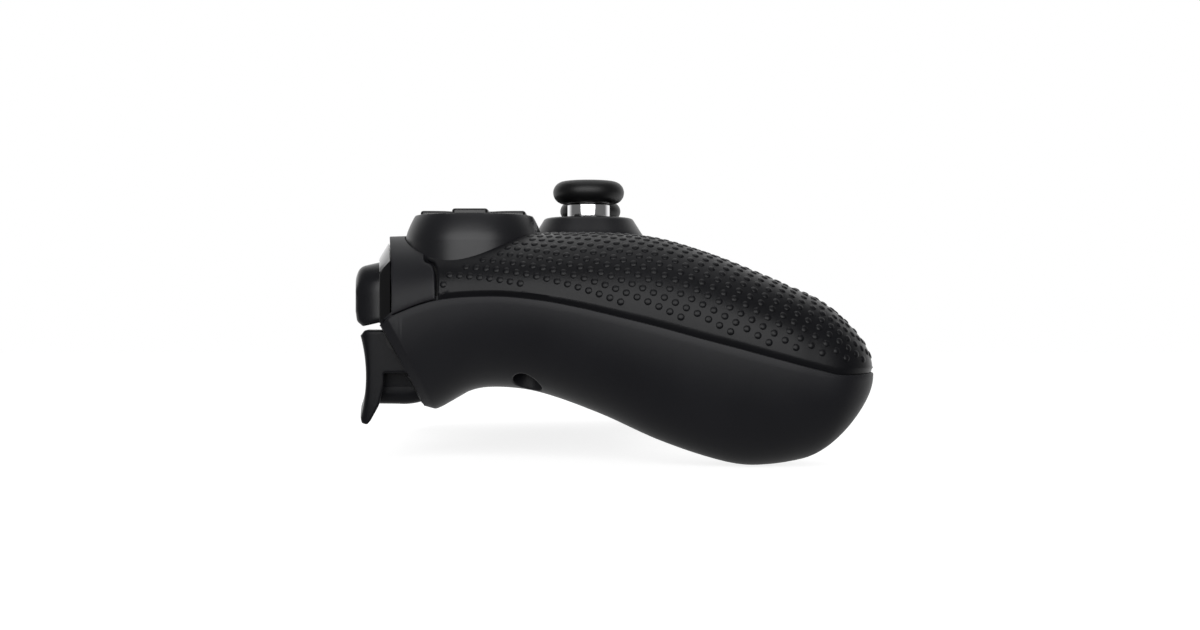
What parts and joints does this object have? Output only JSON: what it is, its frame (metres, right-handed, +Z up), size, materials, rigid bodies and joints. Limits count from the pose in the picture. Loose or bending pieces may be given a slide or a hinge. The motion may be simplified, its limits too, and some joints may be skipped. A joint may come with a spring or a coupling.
{
  "type": "gamepad controller",
  "caption": "Handheld gamepad with dotted grips, tilting thumb sticks on bright collars, a raised directional pad, face buttons, front bumpers and hinged triggers.",
  "frame": {"origin": "bottom centre of the box round the whole part", "axes": "+X to the player's right, +Y forward to the triggers, +Z up out of the top deck"},
  "size_m": [0.1578, 0.118, 0.065],
  "materials": {
    "casing": "fine matte grain",
    "grip": "matte, with raised dots",
    "gloss_front": "polished",
    "bezel": "satin",
    "bumper": "satin",
    "trigger": "satin",
    "button": "smooth",
    "small_button": "satin",
    "lens": "clear to milky",
    "stick_rubber": "soft matte",
    "bright_metal": "polished",
    "inner_plastic": "plain",
    "pale_plastic": "plain",
    "steel": "bright",
    "weight_metal": "dull",
    "dark_screw": "blackened",
    "membrane": "soft",
    "board": "coated",
    "battery_wrap": "wrapped"
  },
  "bodies": {
    "case": {"lower_shell": "casing", "upper_shell": "casing", "left_grip_cover": "grip", "right_grip_cover": "grip", "front_fascia": "gloss_front", "pad_bezel": "bezel", "button_bezel": "bezel", "left_stick_ring": "bezel", "right_stick_ring": "bezel", "indicator_lens": "lens", "left_trigger_bracket": "inner_plastic", "right_trigger_bracket": "inner_plastic", "dpad_post": "inner_plastic", "bumper_switches": "inner_plastic", "left_trigger_pin": "steel", "right_trigger_pin": "steel", "left_stick_housing": "steel", "right_stick_housing": "steel", "usb_socket": "steel", "left_motor": "steel", "right_motor": "steel", "board_screws": "steel", "case_screws": "dark_screw", "dpad_membrane": "membrane", "button_membrane": "membrane", "system_membrane": "membrane", "main_board": "board", "battery": "battery_wrap"},
    "left_trigger": {"left_trigger": "trigger", "left_trigger_spring": "steel"},
    "left_bumper": {"left_bumper": "bumper"},
    "left_rocker": {"left_stick_rocker": "steel"},
    "left_pivot": {"left_stick_pivot": "pale_plastic"},
    "left_stick": {"left_stick_stem": "inner_plastic", "left_stick_collar": "bright_metal", "left_stick_cap": "stick_rubber"},
    "left_weight": {"left_motor_weight": "weight_metal"},
    "right_trigger": {"right_trigger": "trigger", "right_trigger_spring": "steel"},
    "right_bumper": {"right_bumper": "bumper"},
    "right_rocker": {"right_stick_rocker": "steel"},
    "right_pivot": {"right_stick_pivot": "pale_plastic"},
    "right_stick": {"right_stick_stem": "inner_plastic", "right_stick_collar": "bright_metal", "right_stick_cap": "stick_rubber"},
    "right_weight": {"right_motor_weight": "weight_metal"},
    "pad_pivot": {"dpad_pivot": "steel"},
    "pad": {"dpad": "button"},
    "face_button_1": {"face_button_1": "button"},
    "face_button_2": {"face_button_2": "button"},
    "face_button_3": {"face_button_3": "button"},
    "face_button_4": {"face_button_4": "button"},
    "select_button": {"select_button": "small_button"},
    "start_button": {"start_button": "small_button"},
    "home_button": {"home_button": "small_button"}
  },
  "joints": [
    {"name": "left_trigger_pull", "type": "hinge", "parent": "case", "child": "left_trigger", "pos_m": [-0.046, 0.0453, 0.0276], "axis": [-1, 0, 0], "range_deg": [0, 16], "stiffness_Nm_per_rad": 0.05, "springref_deg": -17.19},
    {"name": "left_bumper_press", "type": "slide", "parent": "case", "child": "left_bumper", "axis": [0, -0.9743, 0.2251], "range_m": [0, 0.0012], "stiffness_N_per_m": 800, "springref_m": -0.001},
    {"name": "left_stick_forward", "type": "hinge", "parent": "case", "child": "left_rocker", "pos_m": [-0.032, 0.00375, 0.0476], "axis": [1, 0, 0], "range_deg": [-15, 15], "stiffness_Nm_per_rad": 0.03},
    {"name": "left_stick_sideways", "type": "hinge", "parent": "left_rocker", "child": "left_pivot", "pos_m": [-0.032, 0.00375, 0.0476], "axis": [0, 1, 0], "range_deg": [-15, 15], "stiffness_Nm_per_rad": 0.03},
    {"name": "left_stick_click", "type": "slide", "parent": "left_pivot", "child": "left_stick", "axis": [0, 0, -1], "range_m": [0, 0.0005], "stiffness_N_per_m": 3000, "springref_m": -0.0006},
    {"name": "left_motor_spin", "type": "hinge", "parent": "case", "child": "left_weight", "pos_m": [-0.064, -0.03, 0.017], "axis": [1, 0, 0], "continuous": true},
    {"name": "right_trigger_pull", "type": "hinge", "parent": "case", "child": "right_trigger", "pos_m": [0.046, 0.0453, 0.0276], "axis": [-1, 0, 0], "range_deg": [0, 16], "stiffness_Nm_per_rad": 0.05, "springref_deg": -17.19},
    {"name": "right_bumper_press", "type": "slide", "parent": "case", "child": "right_bumper", "axis": [0, -0.9743, 0.2251], "range_m": [0, 0.0012], "stiffness_N_per_m": 800, "springref_m": -0.001},
    {"name": "right_stick_forward", "type": "hinge", "parent": "case", "child": "right_rocker", "pos_m": [0.032, 0.00375, 0.0476], "axis": [1, 0, 0], "range_deg": [-15, 15], "stiffness_Nm_per_rad": 0.03},
    {"name": "right_stick_sideways", "type": "hinge", "parent": "right_rocker", "child": "right_pivot", "pos_m": [0.032, 0.00375, 0.0476], "axis": [0, 1, 0], "range_deg": [-15, 15], "stiffness_Nm_per_rad": 0.03},
    {"name": "right_stick_click", "type": "slide", "parent": "right_pivot", "child": "right_stick", "axis": [0, 0, -1], "range_m": [0, 0.0005], "stiffness_N_per_m": 3000, "springref_m": -0.0006},
    {"name": "right_motor_spin", "type": "hinge", "parent": "case", "child": "right_weight", "pos_m": [0.064, -0.03, 0.017], "axis": [1, 0, 0], "continuous": true},
    {"name": "pad_forward", "type": "hinge", "parent": "case", "child": "pad_pivot", "pos_m": [-0.05, 0.02975, 0.0484], "axis": [1, 0, 0], "range_deg": [-4, 4], "stiffness_Nm_per_rad": 0.06},
    {"name": "pad_sideways", "type": "hinge", "parent": "pad_pivot", "child": "pad", "pos_m": [-0.05, 0.02975, 0.0484], "axis": [0, 1, 0], "range_deg": [-4, 4], "stiffness_Nm_per_rad": 0.06},
    {"name": "face_button_1_press", "type": "slide", "parent": "case", "child": "face_button_1", "axis": [0, 0, -1], "range_m": [0, 0.0012], "stiffness_N_per_m": 500, "springref_m": -0.0008},
    {"name": "face_button_2_press", "type": "slide", "parent": "case", "child": "face_button_2", "axis": [0, 0, -1], "range_m": [0, 0.0012], "stiffness_N_per_m": 500, "springref_m": -0.0008},
    {"name": "face_button_3_press", "type": "slide", "parent": "case", "child": "face_button_3", "axis": [0, 0, -1], "range_m": [0, 0.0012], "stiffness_N_per_m": 500, "springref_m": -0.0008},
    {"name": "face_button_4_press", "type": "slide", "parent": "case", "child": "face_button_4", "axis": [0, 0, -1], "range_m": [0, 0.0012], "stiffness_N_per_m": 500, "springref_m": -0.0008},
    {"name": "select_button_press", "type": "slide", "parent": "case", "child": "select_button", "axis": [0, 0, -1], "range_m": [0, 0.0012], "stiffness_N_per_m": 500, "springref_m": -0.0008},
    {"name": "start_button_press", "type": "slide", "parent": "case", "child": "start_button", "axis": [0, 0, -1], "range_m": [0, 0.0012], "stiffness_N_per_m": 500, "springref_m": -0.0008},
    {"name": "home_button_press", "type": "slide", "parent": "case", "child": "home_button", "axis": [0, 0, -1], "range_m": [0, 0.0012], "stiffness_N_per_m": 500, "springref_m": -0.0008}
  ]
}
